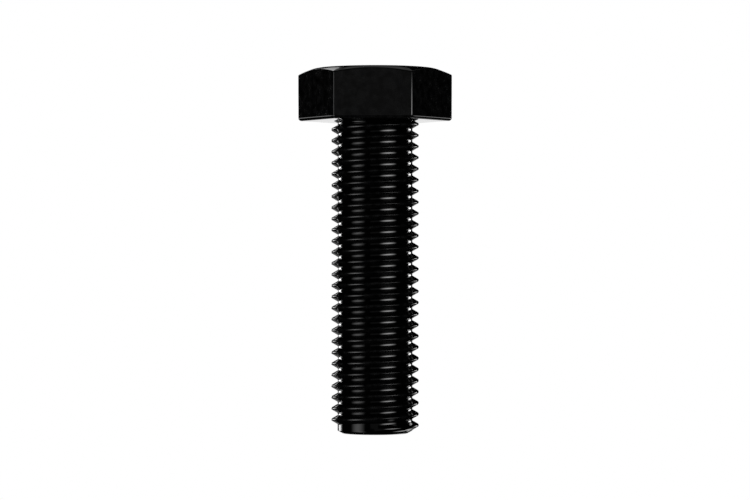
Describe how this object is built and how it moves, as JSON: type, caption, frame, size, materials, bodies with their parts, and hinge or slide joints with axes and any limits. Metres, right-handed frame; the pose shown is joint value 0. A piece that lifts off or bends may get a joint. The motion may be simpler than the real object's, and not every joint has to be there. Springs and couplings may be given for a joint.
{
  "type": "hex bolt",
  "caption": "Hexagon head bolt with a coarse right-hand thread running up to the head, a chamfered crown and a chamfered end.",
  "frame": {"origin": "centre of the bearing face under the head, where the bolt's axis passes it", "axes": "+Z along the bolt's axis towards the top of the head, -Z towards the end of the shank, +Y and -Y square to two opposite wrench flats, +X and -X towards two opposite corners"},
  "size_m": [0.0346, 0.03, 0.0818],
  "materials": {
    "black_steel_head": "black oxide, oiled, smooth and glossy",
    "black_steel_thread": "black oxide, oiled, rolled thread with burnished crests",
    "black_steel_point": "black oxide, oiled, turned end"
  },
  "bodies": {
    "root": {"hex_head": "black_steel_head", "threaded_shank": "black_steel_thread", "chamfered_point": "black_steel_point"}
  },
  "joints": []
}
